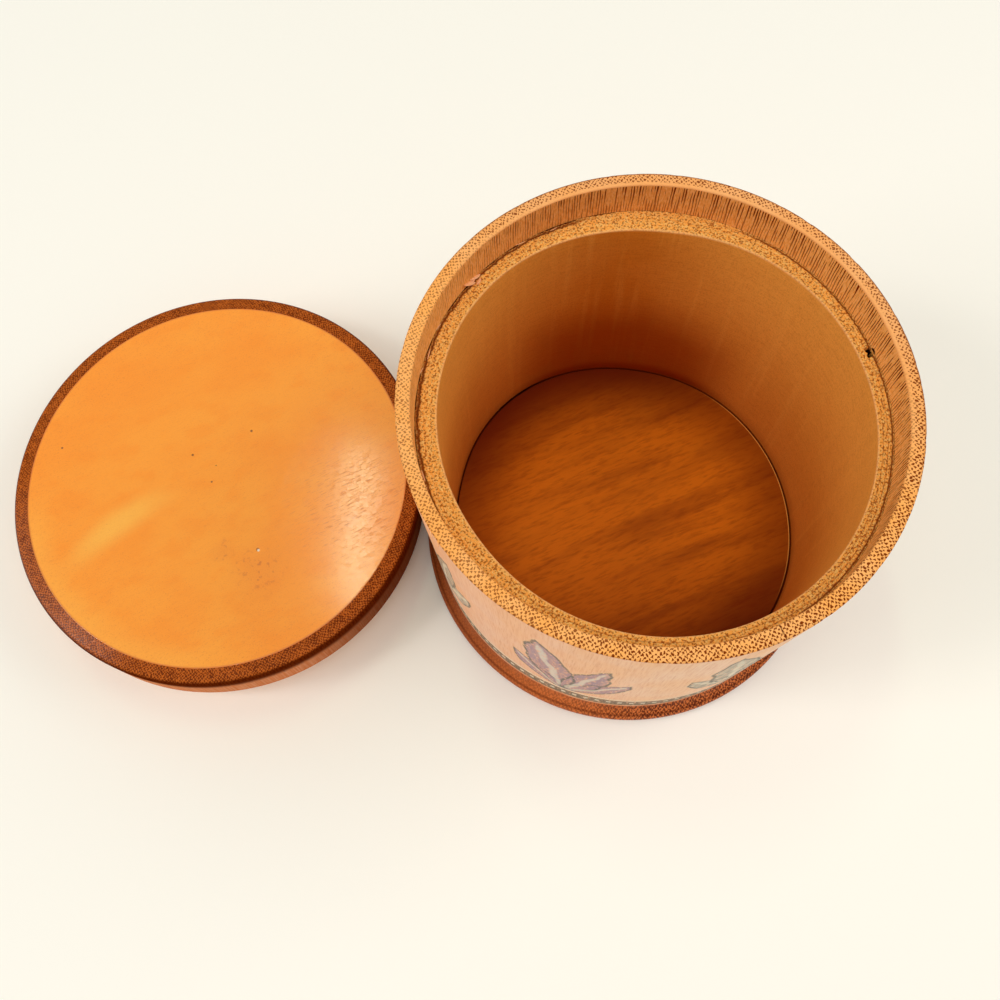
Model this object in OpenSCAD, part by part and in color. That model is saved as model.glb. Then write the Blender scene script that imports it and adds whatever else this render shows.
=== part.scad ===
// Tea canister turned from bamboo: a tapered outer shell with a flared foot, an inner sleeve
// and a floor, and its lid lying on the table beside it.
// Millimetres, +Z up. The origin is on the canister's axis, on the plane it stands on.

/* [Canister] */
// Height from the table to the rim
body_h = 85.2; // [70:0.1:140]
// Diameter over the rim, which the lid shares
rim_d = 100; // [97:0.5:112]
// Diameter of the outer wall at its narrowest, just above the foot
waist_d = 94.8; // [94:0.1:96]
// Thickness of the shell's wall at the rim
rim_wall = 2.9; // [2.4:0.1:3.2]
// Depth from the rim to the sleeve's end, which is the ledge that the lid drops onto
socket_depth = 9.7; // [9.7:0.1:14]
// Diameter of the sleeve's bore
bore_d = 86.5; // [70:0.1:87]
// Thickness of the floor disc
floor_t = 3.4; // [2:0.1:8]

/* [Foot] */
// Height of the foot, up to where its hollow curve meets the wall
foot_h = 8; // [8:0.1:16]
// How far the foot's round edge stands out from the wall
foot_flare = 2.5; // [2:0.1:3.5]
// Radius of the foot's round edge
foot_round = 2.6; // [2.2:0.1:3]

/* [Lid] */
// Length of the spigot below the lid's outer ring
spigot_l = 9.5; // [4:0.1:9.6]
// Height of the lid's outer ring
ring_h = 12.9; // [8:0.1:20]
// Thickness of the lid's panel at its edge
panel_t = 3.6; // [2:0.1:5]
// Rise of the panel from its edge to its middle
panel_crown = 0.8; // [0.2:0.1:3]
// Wall thickness of the spigot ring
spigot_wall = 3.2; // [2:0.1:6]
// Play between the spigot and the socket, all round
spigot_play = 0.65; // [0.2:0.05:1]

/* [Layout] */
// Free space between the canister's rim and the lid beside it
lid_gap = 0.4; // [0.4:0.1:60]
// Bearing of the lid from the canister's axis, in degrees from +X
lid_bearing = 174.7; // [0:0.1:360]

/* [Hidden] */

rim_r = rim_d / 2;
waist_r = waist_d / 2;
bore_r = bore_d / 2;
socket_r = rim_r - rim_wall;
ledge_z = body_h - socket_depth;

// The wall leans out from the waist to the rim, and the seam between shell and sleeve leans with it
wall_lean = (rim_r - waist_r) / (body_h - foot_h);
floor_r = socket_r - wall_lean * (ledge_z - floor_t);

// A line is scored round the floor where it meets the bore
score_w = 0.5;
score_d = 0.5;

// Edges are eased by hand
ease = 0.4;

// The foot's round edge is part of a circle cut off by the table
round_r = waist_r + foot_flare - foot_round;
round_z = 0.88 * foot_round;
round_top = 50;
// A hollow curve runs from the top of the round edge up into the wall, upright where it meets it
arris_r = round_r + foot_round * cos(round_top);
arris_z = round_z + foot_round * sin(round_top);
hollow_turn = 2 * atan((arris_r - waist_r) / (foot_h - arris_z));
hollow_r = (foot_h - arris_z) / sin(hollow_turn);

lid_r = socket_r - spigot_play;
lid_edge_z = spigot_l + ring_h;
panel_z = lid_edge_z - panel_t;
// The ring's top slopes down from the panel and rolls over into the wall
roll_r = 1.2;
roll_drop = 1.55;
roll_end = 80;
lid_place = (rim_d + lid_gap) * [cos(lid_bearing), sin(lid_bearing)];

arc_steps = 8;
crown_steps = 10;
round_steps = 180;

// Points along part of a circle in the profile plane, angles in degrees
function arc(centre, r, from, to) =
    [for (i = [0:arc_steps]) let (a = from + (to - from) * i / arc_steps) centre + r * [cos(a), sin(a)]];

// A solid turned about the vertical axis from its profile of [radius, height] points
module turned(profile) {
    rotate_extrude($fn = round_steps) polygon(profile);
}

module beside_canister() {
    translate([lid_place[0], lid_place[1], 0]) children();
}

// The shell stands on its flared foot, and above the sleeve's end it makes the socket for the lid
module outer_shell() {
    color([0.92, 0.71, 0.56]) turned(concat(
        [[floor_r, 0]],
        arc([round_r, round_z], foot_round, -asin(round_z / foot_round), round_top),
        arc([waist_r + hollow_r, foot_h], hollow_r, 180 + hollow_turn, 180),
        arc([rim_r - ease, body_h - ease], ease, 0, 90),
        arc([socket_r + ease, body_h - ease], ease, 90, 180),
        [[socket_r, ledge_z], [floor_r, floor_t]]
    ));
}

// The sleeve is a tapered plug in the shell, standing on the floor. Its upper end is the ledge.
module inner_sleeve() {
    color([0.80, 0.52, 0.27]) turned(concat(
        [[bore_r, floor_t], [floor_r, floor_t], [socket_r, ledge_z]],
        arc([bore_r + ease, ledge_z - ease], ease, 90, 180)
    ));
}

module floor_disc() {
    color([0.50, 0.24, 0.09]) turned([
        [0, 0], [floor_r, 0], [floor_r, floor_t], [bore_r, floor_t],
        [bore_r - score_w / 2, floor_t - score_d], [bore_r - score_w, floor_t], [0, floor_t]
    ]);
}

// The lid's outer ring matches the rim, and its lower face sits on the rim when the lid is on
module lid_ring() {
    color([0.52, 0.25, 0.13]) beside_canister() turned(concat(
        [[lid_r, spigot_l]],
        arc([rim_r - ease, spigot_l + ease], ease, -90, 0),
        arc([rim_r - roll_r, lid_edge_z - roll_drop], roll_r, 0, roll_end),
        [[lid_r, lid_edge_z]]
    ));
}

// The panel is a disc let into the ring, slightly crowned
module lid_panel() {
    color([0.98, 0.63, 0.28]) beside_canister() turned(concat(
        [[0, panel_z], [lid_r, panel_z]],
        [for (i = [0:crown_steps]) let (t = 1 - i / crown_steps)
            [lid_r * t, lid_edge_z + panel_crown * (1 - t * t)]]
    ));
}

// The spigot is glued inside the ring under the panel, and drops into the shell's socket
module lid_spigot() {
    color([0.86, 0.60, 0.36]) beside_canister() turned(concat(
        arc([lid_r - spigot_wall + ease, ease], ease, 180, 270),
        arc([lid_r - ease, ease], ease, -90, 0),
        [[lid_r, panel_z], [lid_r - spigot_wall, panel_z]]
    ));
}

outer_shell();
inner_sleeve();
floor_disc();
lid_ring();
lid_panel();
lid_spigot();
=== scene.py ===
"""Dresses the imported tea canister: its turned bamboo shell, sleeve, floor and lid with their finishes,
and the table, lights and camera that show them."""

import math
from types import SimpleNamespace

import bpy
import numpy as np
from mathutils import Matrix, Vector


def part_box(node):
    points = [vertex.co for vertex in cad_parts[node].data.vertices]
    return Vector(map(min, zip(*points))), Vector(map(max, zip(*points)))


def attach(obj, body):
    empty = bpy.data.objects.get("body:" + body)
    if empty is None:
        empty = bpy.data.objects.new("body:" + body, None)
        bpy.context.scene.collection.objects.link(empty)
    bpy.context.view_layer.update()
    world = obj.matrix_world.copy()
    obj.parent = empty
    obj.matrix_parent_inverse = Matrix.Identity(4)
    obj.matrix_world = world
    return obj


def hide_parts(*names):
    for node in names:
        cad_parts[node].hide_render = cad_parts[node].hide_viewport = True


bl_info = {
    "name": "Bamboo Tea Canister",
    "version": (1, 0, 0),
    "blender": (4, 5, 0),
    "location": "View3D > Sidebar > Canister",
    "description": "Builds a turned bamboo tea canister and its lid around their packed solids",
    "category": "Add Mesh",
}

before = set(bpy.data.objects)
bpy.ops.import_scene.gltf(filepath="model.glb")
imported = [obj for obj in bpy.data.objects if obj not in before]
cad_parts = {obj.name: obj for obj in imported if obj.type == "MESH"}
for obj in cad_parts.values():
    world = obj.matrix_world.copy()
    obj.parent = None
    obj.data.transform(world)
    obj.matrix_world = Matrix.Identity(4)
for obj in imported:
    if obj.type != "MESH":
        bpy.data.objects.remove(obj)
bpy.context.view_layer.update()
MM = 0.001


def span(node):
    """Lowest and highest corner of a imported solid, in millimetres."""
    low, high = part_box(node)
    return np.array(low) / MM, np.array(high) / MM


SHELL_HIGH = span("outer_shell")[1]
SLEEVE_HIGH = span("inner_sleeve")[1]
FLOOR_HIGH = span("floor_disc")[1]
RING_LOW, RING_HIGH = span("lid_ring")
PANEL_LOW, PANEL_HIGH = span("lid_panel")
RING_R = (RING_HIGH[0] - RING_LOW[0]) / 2
PANEL_R = (PANEL_HIGH[0] - PANEL_LOW[0]) / 2
LID_CENTRE = tuple((RING_LOW + RING_HIGH)[:2] / 2)
CANISTER_CENTRE = (0.0, 0.0)


# Properties

def length(name, description, millimetres):
    """A length property, given in millimetres and kept in metres."""
    return bpy.props.FloatProperty(
        name=name, description=description, default=float(millimetres) * MM,
        unit="LENGTH", subtype="DISTANCE", precision=5,
    )


def tone(name, description, red, green, blue):
    """A colour property, given as it looks on a screen from 0 to 255."""
    return bpy.props.FloatVectorProperty(
        name=name, description=description, default=(red / 255, green / 255, blue / 255),
        size=3, min=0.0, max=1.0, subtype="COLOR_GAMMA",
    )


class CanisterSizes(bpy.types.PropertyGroup):
    """Sizes of the canister"""

    rim_r: length("Rim Radius", "Outer radius of the rim", SHELL_HIGH[0])
    body_h: length("Height", "Height from the table to the rim", SHELL_HIGH[2])
    waist_r: length("Waist Radius", "Outer radius of the wall just above the foot", 47.4)
    socket_r: length("Socket Radius", "Inner radius of the shell above the sleeve", SLEEVE_HIGH[0])
    ledge_z: length("Ledge Height", "Height of the sleeve's upper end", SLEEVE_HIGH[2])
    bore_r: length("Bore Radius", "Inner radius of the sleeve", 43.25)
    floor_r: length("Floor Radius", "Radius of the floor disc", FLOOR_HIGH[0])
    floor_t: length("Floor Thickness", "Thickness of the floor disc", FLOOR_HIGH[2])
    ease: length("Edge Ease", "Rounding of the turned edges", 0.4)
    foot_h: length("Foot Height", "Height where the foot's hollow curve meets the wall", 8.0)
    foot_flare: length("Foot Flare", "How far the foot stands out from the wall", 2.5)
    foot_round: length("Foot Round", "Radius of the foot's round edge", 2.6)
    score_w: length("Score Width", "Width of the line scored round the floor", 0.5)
    score_d: length("Score Depth", "Depth of the line scored round the floor", 0.5)
    groove_w: length("Seam Width", "Width of the worn seam outside the sleeve's end", 0.06)
    torn_w: length("Torn Seam Width", "Added width of the seam where it is torn", 0.22)
    groove_d: length("Seam Depth", "Depth of the worn seam outside the sleeve's end", 0.4)
    chip_r: length("Chip Size", "Half the width of the chip broken out of the sleeve's end", 0.95)
    chip_d: length("Chip Depth", "Depth of the chip broken out of the sleeve's end", 2.6)


class LidSizes(bpy.types.PropertyGroup):
    """Sizes of the lid"""

    rim_r: length("Ring Radius", "Outer radius of the lid's ring", RING_R)
    panel_r: length("Panel Radius", "Radius of the panel let into the ring", PANEL_R)
    ring_z: length("Ring Height", "Height of the ring's lower face", RING_LOW[2])
    edge_z: length("Edge Height", "Height where the ring meets the panel", RING_HIGH[2])
    panel_z: length("Panel Height", "Height of the panel's lower face", PANEL_LOW[2])
    crown_z: length("Crown Height", "Height of the panel's middle", PANEL_HIGH[2])
    plug_wall: length("Plug Wall", "Wall thickness of the ring that drops into the canister", 3.2)
    ease: length("Edge Ease", "Rounding of the turned edges", 0.4)
    panel_ease: length("Panel Ease", "Rounding of the panel's edge", 0.15)
    roll_r: length("Roll Radius", "Rounding of the ring's upper edge", 1.2)
    roll_drop: length("Roll Drop", "Drop from the panel's edge to the middle of that rounding", 1.55)


class CanisterColours(bpy.types.PropertyGroup):
    """Colours of the bamboo, the stain, the varnish and the print, and of painted light and shade"""

    rim: tone("Rim", "End grain of the rim", 255, 176, 94)
    rim_pale: tone("Pale Rim", "Paler patches and inner margin of the rim", 255, 190, 122)
    bundle: tone("Bundles", "Dark fibre bundles in the end grain", 124, 46, 0)
    socket: tone("Socket", "Wall above the sleeve", 255, 186, 102)
    socket_dark: tone("Socket Fibres", "Dark fibres in the wall above the sleeve", 122, 42, 0)
    pore: tone("Pores", "Pores in the sleeve's end grain", 152, 62, 0)
    wall: tone("Wall", "Outside of the shell", 255, 210, 174)
    wall_fibre: tone("Wall Fibres", "Fibres in the outside of the shell", 230, 160, 118)
    stain: tone("Stain", "Brown stain of the foot and the lid's edge", 206, 102, 34)
    # Also painted shade on the foot and the lid's side where they face each other, and in the floor's scored
    # line
    dark_stain_and_shade: tone("Dark Stain", "Stain where it gathers on the round edges", 82, 22, 0)
    ledge: tone("Ledge", "End grain of the sleeve", 255, 178, 84)
    ledge_pale: tone("Pale Ledge", "Paler tissue in the sleeve's end grain", 255, 206, 122)
    bore: tone("Bore", "Varnished inside of the sleeve", 208, 119, 22)
    # Painted light on the sleeve's sides and in upright streaks
    bore_painted_light: tone("Light Bore", "Lighter sides of the sleeve", 255, 186, 86)
    # Painted shade low at the back and near the floor, and the colour of the turning marks and grain
    bore_grain_and_shade: tone("Deep Bore", "Inside of the sleeve low at its back", 156, 58, 0)
    floor: tone("Floor", "Light grain of the floor", 225, 124, 16)
    # Also painted shade round the floor's edge and over its front
    floor_streaks_and_shade: tone("Floor Streaks", "Dark grain of the floor", 114, 34, 0)
    panel: tone("Lid Panel", "Orange varnish of the lid's panel", 255, 160, 42)
    panel_deep: tone("Deep Lid Panel", "Deeper patches of the lid's varnish", 252, 146, 26)
    # Painted sheen on the lid's panel, along its lower left edge and in a streak on its left
    panel_painted_sheen: tone("Light Lid Panel", "Lighter figure in the lid's wood", 255, 194, 78)
    plug: tone("Plug", "Bare bamboo under the lid", 222, 166, 108)
    # This colour is painted shade in the broken chip, on the ledge and on the wall beside it
    seam: tone("Seam", "Bottom of seams and chips", 40, 18, 8)
    ink_violet: tone("Violet Ink", "Leaves of the print", 146, 116, 140)
    ink_green: tone("Green Ink", "Stems, bands and dark leaves of the print", 70, 72, 52)
    ink_cream: tone("Cream Ink", "Veins and bars of the print", 244, 234, 208)


class StageSettings(bpy.types.PropertyGroup):
    """Table, light and camera"""

    table: tone("Table", "Colour of the table", 254, 251, 243)
    lens: bpy.props.FloatProperty(
        name="Lens", description="Focal length of the camera on a 36 mm sensor", default=39.156,
        unit="CAMERA",
    )
    elevation: bpy.props.FloatProperty(
        name="Elevation", description="How far the camera looks down", default=math.radians(67.089),
        subtype="ANGLE",
    )
    roll: bpy.props.FloatProperty(
        name="Roll", description="Turn of the camera about its line of sight", default=math.radians(-2.193),
        subtype="ANGLE",
    )
    shift: bpy.props.FloatProperty(
        name="Shift", description="Upward shift of the lens, as a share of the frame", default=-0.1,
    )
    camera_x: length("Camera X", "Place of the camera to the right of the canister's axis", -30.0)
    camera_y: length("Camera Y", "Place of the camera behind the canister's axis", -79.9)
    camera_z: length("Camera Z", "Height of the camera over the table", 274.8)
    sky: bpy.props.FloatProperty(
        name="Sky", description="Strength of the even light from all round", default=0.42, min=0.0,
    )


def in_mm(group):
    """The lengths of a property group as plain numbers in millimetres."""
    return SimpleNamespace(**{key: getattr(group, key) / MM for key in group.__annotations__})


def paint(colour):
    """A screen colour as the linear colour that a shader takes."""
    value = np.array(colour[:3])
    linear = np.where(value <= 0.04045, value / 12.92, ((value + 0.055) / 1.055) ** 2.4)
    return (*linear.tolist(), 1.0)


def paints():
    """All colours of the object, as shader colours."""
    group = bpy.context.scene.canister_colours
    return SimpleNamespace(**{key: paint(getattr(group, key)) for key in group.__annotations__})


# Shapes

class Outline:
    """The outline that a piece is turned from, in millimetres of radius and height. A pen draws it from its
    start, anticlockwise with the radius to the right. Each stretch stops just short of its end, where the
    next one starts."""

    def __init__(self, start):
        self.pen = np.array(start, float)
        self.points = np.empty((0, 2))
        self.zones = np.empty(0, int)
        self.parts = {}

    def add(self, part, zone, points):
        """Appends a named stretch whose faces take the finish with the number zone."""
        first = len(self.points)
        self.points = np.vstack([self.points, points])
        self.zones = np.append(self.zones, np.full(len(points), zone))
        self.parts[part] = slice(first, len(self.points))

    def line(self, part, zone, end, steps):
        """Straight stretch from the pen: pen + share * (end - pen)."""
        share = np.arange(steps)[:, None] / steps
        self.add(part, zone, self.pen + share * np.subtract(end, self.pen))
        self.pen = np.array(end, float)

    def arc(self, part, zone, centre, radius, start, end, steps):
        """Part of a circle: centre + radius * (cos, sin) of angles from start to end, in degrees."""
        turn = np.radians(np.linspace(start, end, steps + 1))
        points = np.array(centre) + radius * np.stack([np.cos(turn), np.sin(turn)], axis=1)
        self.add(part, zone, points[:-1])
        self.pen = points[-1]

    def turned(self, angles):
        """Radius and height over the whole turn, one row for each bearing."""
        rows = (len(angles), 1)
        return np.tile(self.points[:, 0], rows), np.tile(self.points[:, 1], rows)


def full_turn(steps):
    """Evenly spaced bearings once round, in radians."""
    return np.linspace(0, 2 * np.pi, steps, endpoint=False)


def round_noise(angles, seed, slow, fast):
    """Noise round a turned piece: a sum of sines with whole wave counts between slow and fast, and about
    unit deviation."""
    count = 40
    draw = np.random.default_rng(seed)
    waves = draw.integers(slow, fast, count)
    phase = draw.uniform(0, 2 * np.pi, count)
    return np.sin(np.outer(angles, waves) + phase).sum(axis=1) / math.sqrt(count / 2)


def edge_wear(angles, seed, slow, fast, spared, depth):
    """Dents along a turned edge: what round noise has over the spared level, times the depth."""
    over = np.clip(round_noise(angles, seed, slow, fast) - spared, 0, 2)
    return over[:, None] * depth


def ramp(value, low, high):
    """Smooth step from 0 at low to 1 at high: t * t * (3 - 2 t)."""
    share = np.clip((value - low) / (high - low), 0, 1)
    return share * share * (3 - 2 * share)


def mesh_piece(name, points, faces, zones, finishes, crease, plain_radius=None):
    """Makes a mesh object from points in millimetres, with smooth faces and sharp edges over the crease
    angle in degrees. The radius that a point has before it wanders can be kept for the finish."""
    mesh = bpy.data.meshes.new(name)
    mesh.from_pydata((points * MM).tolist(), [], faces)
    for finish in finishes:
        mesh.materials.append(finish)
    mesh.polygons.foreach_set("material_index", zones.astype(np.int32))
    mesh.polygons.foreach_set("use_smooth", np.ones(len(faces), bool))
    mesh.set_sharp_from_angle(angle=math.radians(crease))
    if plain_radius is not None:
        mark = mesh.attributes.new("plain_radius", "FLOAT", "POINT")
        mark.data.foreach_set("value", plain_radius.astype(np.float32))
    if mesh.validate():
        raise ValueError(f"{name} has faces that cannot be used")
    piece = bpy.data.objects.new(name, mesh)
    bpy.context.scene.collection.objects.link(piece)
    return piece


# Edges over these angles in degrees stay sharp on a turned piece and on a fibre
CREASE = 40
FIBRE_CREASE = 60


def turned_piece(name, angles, radius, height, zones, finishes, centre, poles=None, plain=None):
    """Turns a surface about an upright axis. Point (i, j) has bearing angles[i] and outline place j:
    x = centre x + radius cos(bearing), y = centre y + radius sin(bearing), z = height. A ring's outline
    closes on itself, and a disc's ends on the axis at the heights in poles, lower one first."""
    turns, places = radius.shape
    marks = None if plain is None else np.tile(plain, turns)
    across = radius * np.cos(angles)[:, None] + centre[0]
    along = radius * np.sin(angles)[:, None] + centre[1]
    points = np.stack([across, along, height], axis=-1).reshape(-1, 3)
    here = np.arange(turns * places).reshape(turns, places)
    beside = np.roll(here, -1, axis=0)
    quads = np.stack([here, beside, np.roll(beside, -1, axis=1), np.roll(here, -1, axis=1)], axis=-1)
    kinds = np.tile(zones, (turns, 1))
    if poles is None:
        faces = quads.reshape(-1, 4).tolist()
        return mesh_piece(name, points, faces, kinds.ravel(), finishes, CREASE, marks)
    low, high = len(points), len(points) + 1
    points = np.vstack([points, [*centre, poles[0]], [*centre, poles[1]]])
    under = np.stack([np.full(turns, low), beside[:, 0], here[:, 0]], axis=1)
    over = np.stack([here[:, -1], beside[:, -1], np.full(turns, high)], axis=1)
    faces = quads[:, :-1].reshape(-1, 4).tolist() + under.tolist() + over.tolist()
    kinds = np.concatenate([kinds[:, :-1].ravel(), kinds[:, 0], kinds[:, -1]])
    if plain is not None:
        marks = np.append(marks, [0, 0])
    return mesh_piece(name, points, faces, kinds, finishes, CREASE, marks)


# How far the bore wanders from its round: bearing in degrees, offset at the ledge and at the floor in
# millimetres
BORE_WANDER = (
    (0, 0.75, 0.3), (30, 0.55, 0.0), (55, 0.0, -0.1), (80, -1.2, -0.35), (105, -0.4, 0.6), (125, 0.2, 1.15),
    (145, 0.1, 0.6), (165, -0.35, -0.6), (190, -0.75, -0.4), (215, -1.0, 0.0), (240, -0.35, 0.2),
    (265, 0.3, 0.3), (290, 0.75, 0.5), (320, 0.8, 0.8), (345, 0.75, 0.6),
)


def bore_wander(angles):
    """The bore's offsets at the ledge and at the floor over the bearings: the table's rows joined by
    straight lines and then smoothed with a bell of 30 degrees."""
    bearing, *ends = np.array(BORE_WANDER).T
    degrees = np.arange(360)
    bell = np.hanning(31) / np.hanning(31).sum()
    smooth = []
    for end in ends:
        lines = np.interp(np.arange(-360, 720), bearing, end, period=360)
        rounded = np.convolve(lines, bell, "same")[360:720]
        smooth.append(np.interp(np.degrees(angles), degrees, rounded, period=360))
    return smooth


def settle(piece, body, node=None):
    """Puts a piece on its body, in place of its solid where it has one."""
    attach(piece, body)
    if node:
        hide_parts(node)


# Finishes

class Field:
    """A number that varies over a surface. Arithmetic on it adds Math nodes."""

    def __init__(self, finish, socket):
        self.finish = finish
        self.socket = socket

    def __add__(self, other):
        return self.finish.math("ADD", self, other)

    def __sub__(self, other):
        return self.finish.math("SUBTRACT", self, other)

    def __rsub__(self, other):
        return self.finish.math("SUBTRACT", other, self)

    def __mul__(self, other):
        return self.finish.math("MULTIPLY", self, other)

    def __truediv__(self, other):
        return self.finish.math("DIVIDE", self, other)

    def __abs__(self):
        return self.finish.math("ABSOLUTE", self)

    __radd__ = __add__
    __rmul__ = __mul__


class Finish:
    """A procedural finish. Its places are object coordinates in millimetres from a piece's upright axis."""

    def __init__(self, name, centre=CANISTER_CENTRE):
        self.material = bpy.data.materials.new(name)
        self.material.use_nodes = True
        self.tree = self.material.node_tree
        self.tree.nodes.clear()
        shift = (-centre[0], -centre[1], 0.0)
        source = self.node("ShaderNodeTexCoord").outputs["Object"]
        scale = (1 / MM, 1 / MM, 1 / MM)
        self.place = self.node("ShaderNodeMapping", source, shift, None, scale).outputs[0]
        self.x, self.y, self.z = self.parts(self.place)
        self.flat = self.vector("MULTIPLY", self.place, (1, 1, 0))
        self.radius = self.measure("LENGTH", self.flat)
        self.shade = None

    def put(self, socket, value):
        """Links a socket or a field, or sets a constant."""
        if isinstance(value, Field):
            value = value.socket
        if isinstance(value, bpy.types.NodeSocket):
            self.tree.links.new(value, socket)
        elif value is not None:
            socket.default_value = value

    def node(self, kind, *values, **settings):
        """Adds a node with its settings, and its inputs in order."""
        made = self.tree.nodes.new(kind)
        for key, value in settings.items():
            setattr(made, key, value)
        for socket, value in zip(made.inputs, values):
            self.put(socket, value)
        return made

    def math(self, operation, *values):
        """A Math node's result."""
        return Field(self, self.node("ShaderNodeMath", *values, operation=operation).outputs[0])

    def vector(self, operation, *values):
        """A Vector Math node's vector."""
        return self.node("ShaderNodeVectorMath", *values, operation=operation).outputs[0]

    def measure(self, operation, *values):
        """A Vector Math node's number."""
        return Field(self, self.node("ShaderNodeVectorMath", *values, operation=operation).outputs[1])

    def parts(self, vector):
        """The three numbers of a vector."""
        return [Field(self, socket) for socket in self.node("ShaderNodeSeparateXYZ", vector).outputs]

    def joined(self, x, y, z):
        """A vector from three numbers."""
        return self.node("ShaderNodeCombineXYZ", x, y, z).outputs[0]

    def stretched(self, stretch, seed=0.0, turn=0.0, where=None):
        """Places scaled along x, y and z after a turn about the axis in degrees, moved by a seed."""
        spot = where or self.place
        if turn:
            spot = self.node("ShaderNodeMapping", spot, None, (0, 0, math.radians(-turn))).outputs[0]
        return self.node("ShaderNodeMapping", spot, (seed, 2 * seed, 3 * seed), None, stretch).outputs[0]

    def noise(self, stretch, detail=2.0, seed=0.0, turn=0.0, where=None, roughness=0.5):
        """Smooth noise from 0 to 1 with stretch features to the millimetre along x, y and z."""
        spot = self.stretched(stretch, seed, turn, where)
        made = self.node("ShaderNodeTexNoise", spot)
        for key, value in (("Scale", 1.0), ("Detail", detail), ("Roughness", roughness)):
            made.inputs[key].default_value = value
        return Field(self, made.outputs[0])

    def step(self, value, low, high):
        """Smooth step from 0 at low to 1 at high, where low may be the greater."""
        made = self.node("ShaderNodeMapRange", value, low, high, interpolation_type="SMOOTHSTEP")
        return Field(self, made.outputs[0])

    def blend(self, share, first, second):
        """A colour between two, by a share from 0 to 1."""
        made = self.node("ShaderNodeMix", data_type="RGBA")
        self.put(made.inputs[0], share)
        self.put(made.inputs[6], first)
        self.put(made.inputs[7], second)
        return made.outputs[2]

    def lay(self, share, colour):
        """Covers a share of the finish so far with a colour."""
        self.shade = self.blend(share, self.shade, colour)

    def near(self, x, y, size, soft=0.5):
        """A spot on the surface seen from above: 1 within size of (x, y), fading over a share of it."""
        gap = self.measure("DISTANCE", self.flat, (x, y, 0))
        return self.step(gap, size, size * (1 - soft))

    def attribute(self, name):
        """A number kept on the mesh."""
        return Field(self, self.node("ShaderNodeAttribute", attribute_name=name).outputs["Fac"])

    def towards(self, bearing):
        """How far a place lies towards a bearing in degrees, from -1 to 1."""
        turn = math.radians(bearing)
        return (self.x * math.cos(turn) + self.y * math.sin(turn)) / self.radius

    def side(self, bearing, low, high):
        """Share from 0 to 1 of the side that lies towards a bearing, by how far it does."""
        return self.step(self.towards(bearing), low, high)

    def columns(self, spacing, radius, loose=1.0, seed=0.0):
        """Phase of the fibre columns about one spacing apart round a circle of the radius: bearing * count,
        moved by noise."""
        count = round(2 * math.pi * radius / spacing)
        drift = (self.noise((1.0, 1.0, 0.12), detail=1, seed=seed) - 0.5) * (9 * loose)
        return self.math("ARCTAN2", self.y, self.x) * count + drift

    def bundles(self, spacing, rows, radius, fullness=0.0, loose=1.0, seed=0.0):
        """Cut ends of fibre columns in staggered rings: the peaks of cos(column phase) cos(ring phase), with
        rings the rows' distance apart. The rings bend outwards between the columns, so that the ends are
        small arches. Gives the share of bundle from 0 to 1."""
        phase = self.columns(spacing, radius, loose, seed)
        drift = (self.noise((1.3, 1.3, 0.12), detail=1, seed=seed + 4) - 0.5) * (9 * loose)
        bend = self.math("COSINE", phase * 2) * 0.6
        rings = self.radius * (math.pi / rows) + drift + bend
        peak = self.math("COSINE", phase) * self.math("COSINE", rings)
        uneven = (self.noise((0.8, 0.8, 0.2), detail=3, seed=seed + 8) - 0.5) * 1.45
        return self.step(peak + fullness + uneven, 0.05, 0.45)

    def surface(self, roughness, height=None, specular=0.5):
        """Ends the finish with a shader in its colour. Height is a relief in millimetres."""
        shader = self.node("ShaderNodeBsdfPrincipled")
        self.put(shader.inputs["Base Color"], self.shade)
        self.put(shader.inputs["Roughness"], roughness)
        self.put(shader.inputs["Specular IOR Level"], specular)
        if height is not None:
            relief = self.node("ShaderNodeBump")
            relief.inputs["Strength"].default_value = 1.0
            relief.inputs["Distance"].default_value = MM
            self.put(relief.inputs["Height"], height)
            self.put(shader.inputs["Normal"], relief.outputs[0])
        output = self.node("ShaderNodeOutputMaterial")
        self.put(output.inputs["Surface"], shader.outputs[0])
        return self.material


# Bearings of the chip, of the torn part of the seam and of the crack in the rim, in degrees
CHIP_BEARING = 14.6
TORN_BEARING = 148
CRACK_BEARING = 291
# Radii of the lines turned into the ledge, in millimetres
TURNED_LINES = (44.5, 45.7)
# The foot's round edge: height of its centre as a share of its radius, and the angle where it ends
ROUND_RISE = 0.88
ROUND_TOP = 50
# The angle where the roll of the lid's ring ends
ROLL_END = 80


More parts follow.
